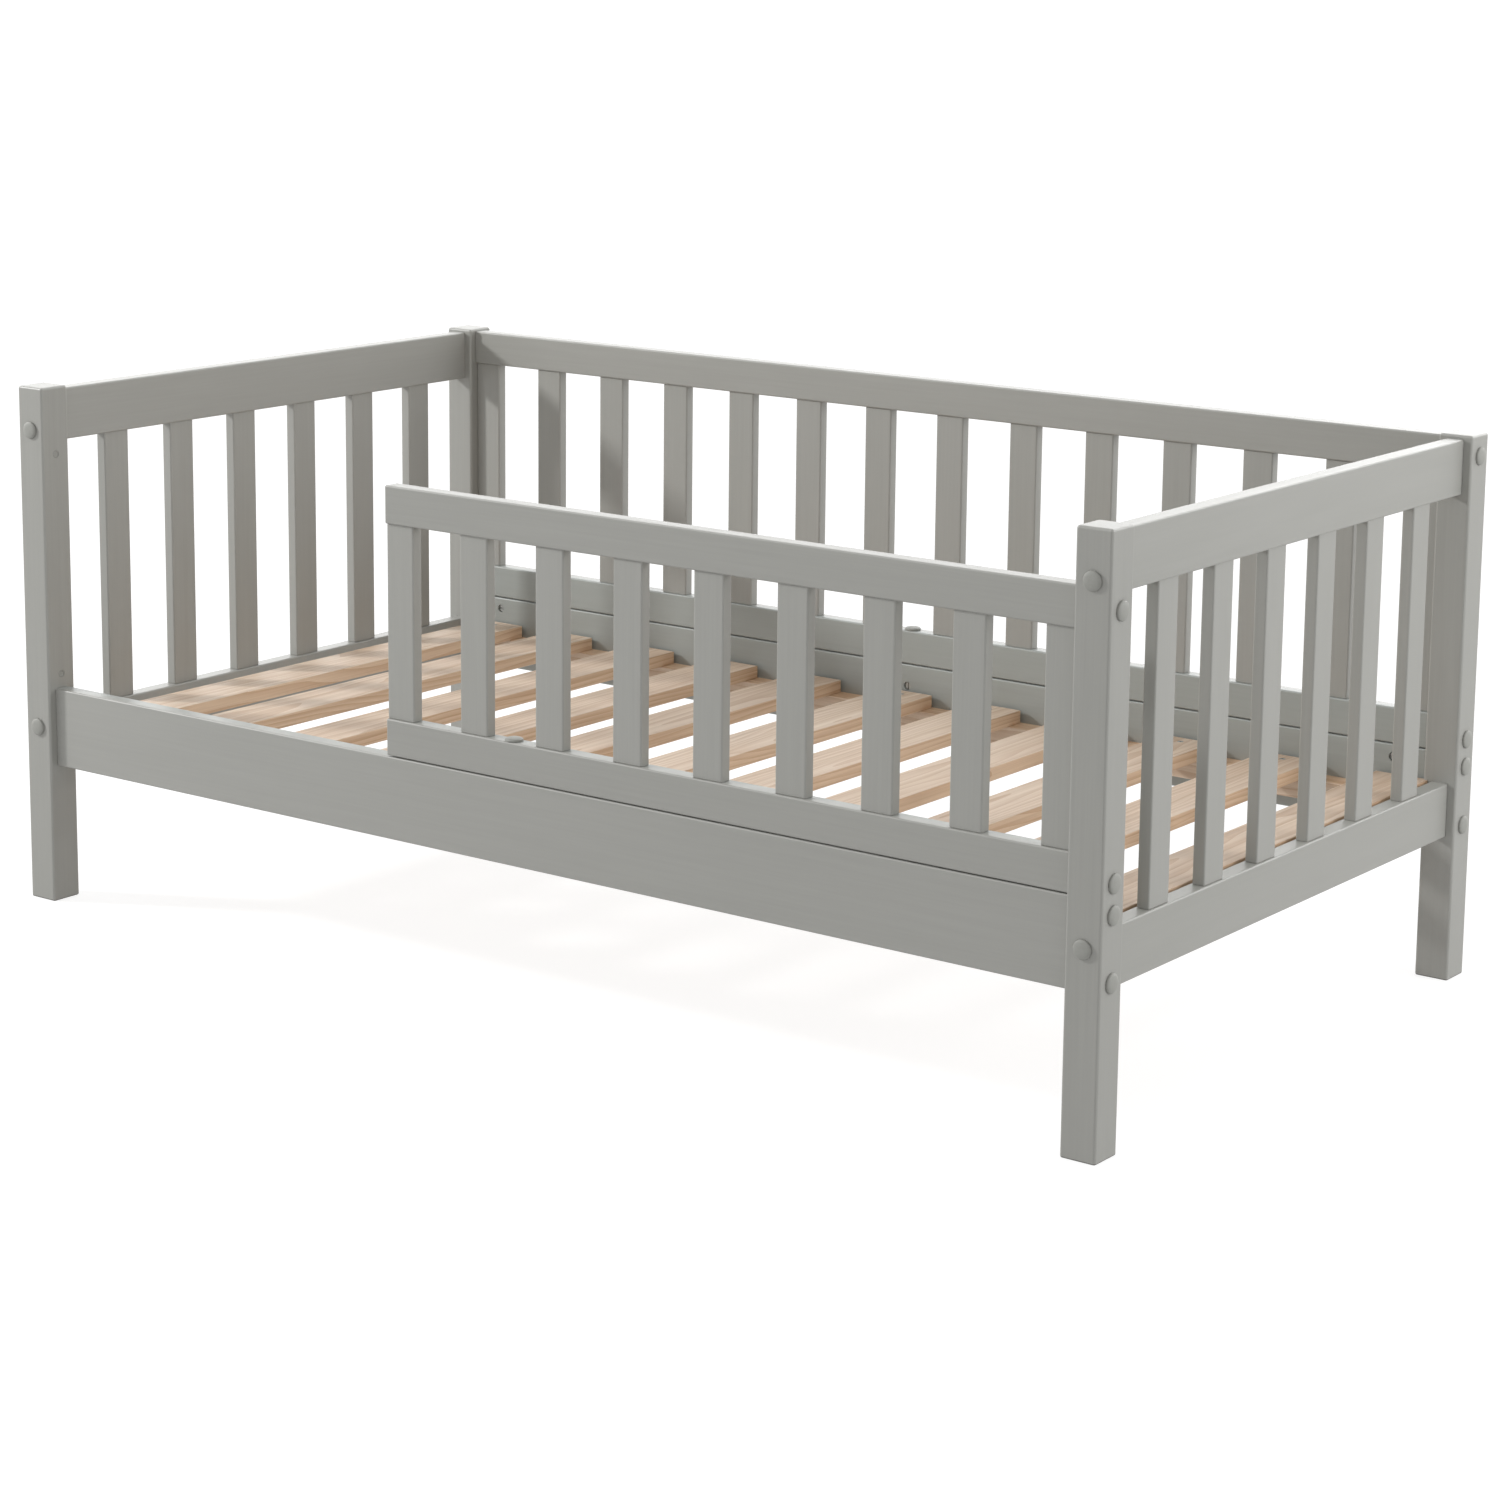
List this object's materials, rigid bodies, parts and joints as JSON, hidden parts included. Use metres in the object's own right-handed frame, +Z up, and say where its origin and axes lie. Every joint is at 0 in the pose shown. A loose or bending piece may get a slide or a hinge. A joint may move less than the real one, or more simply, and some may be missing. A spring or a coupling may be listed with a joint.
{
  "type": "toddler bed",
  "caption": "Low painted wooden toddler bed with slatted ends, a slatted back panel, a partial slatted front guard and an open pine slat base.",
  "frame": {"origin": "centre of the footprint on the floor", "axes": "+X along the bed's length towards the end that the guard joins, +Y across the bed from the open front to the slatted back, +Z up"},
  "size_m": [1.488, 0.798, 0.614],
  "materials": {
    "painted_wood": "satin grey paint with a faint grain",
    "pine": "planed, unfinished pine",
    "zinc_steel": "bright zinc plating",
    "beech": "plain turned beech",
    "cap_plastic": "moulded, colour-matched, low sheen"
  },
  "bodies": {
    "root": {"post_front_left": "painted_wood", "post_front_right": "painted_wood", "post_back_left": "painted_wood", "post_back_right": "painted_wood", "end_top_rail_left": "painted_wood", "end_top_rail_right": "painted_wood", "end_bottom_rail_left": "painted_wood", "end_bottom_rail_right": "painted_wood", "end_slat_left_1": "painted_wood", "end_slat_left_2": "painted_wood", "end_slat_left_3": "painted_wood", "end_slat_left_4": "painted_wood", "end_slat_left_5": "painted_wood", "end_slat_left_6": "painted_wood", "end_slat_right_1": "painted_wood", "end_slat_right_2": "painted_wood", "end_slat_right_3": "painted_wood", "end_slat_right_4": "painted_wood", "end_slat_right_5": "painted_wood", "end_slat_right_6": "painted_wood", "side_rail_front": "painted_wood", "side_rail_back": "painted_wood", "back_top_rail": "painted_wood", "back_bottom_rail": "painted_wood", "back_slats": "painted_wood", "guard_top_rail": "painted_wood", "guard_bottom_rail": "painted_wood", "guard_slat_1": "painted_wood", "guard_slat_2": "painted_wood", "guard_slat_3": "painted_wood", "guard_slat_4": "painted_wood", "guard_slat_5": "painted_wood", "guard_slat_6": "painted_wood", "guard_slat_7": "painted_wood", "guard_slat_8": "painted_wood", "guard_slat_9": "painted_wood", "ledge_front": "pine", "ledge_back": "pine", "base_slat_1": "pine", "base_slat_2": "pine", "base_slat_3": "pine", "base_slat_4": "pine", "base_slat_5": "pine", "base_slat_6": "pine", "base_slat_7": "pine", "base_slat_8": "pine", "base_slat_9": "pine", "base_slat_10": "pine", "base_slat_11": "pine", "short_bolts": "zinc_steel", "long_bolts": "zinc_steel", "centre_bolts": "zinc_steel", "insert_nuts": "zinc_steel", "barrel_nuts": "zinc_steel", "slat_screws": "zinc_steel", "ledge_screws": "zinc_steel", "dowels": "beech", "cover_caps": "cap_plastic", "hole_plugs": "cap_plastic"}
  },
  "joints": []
}
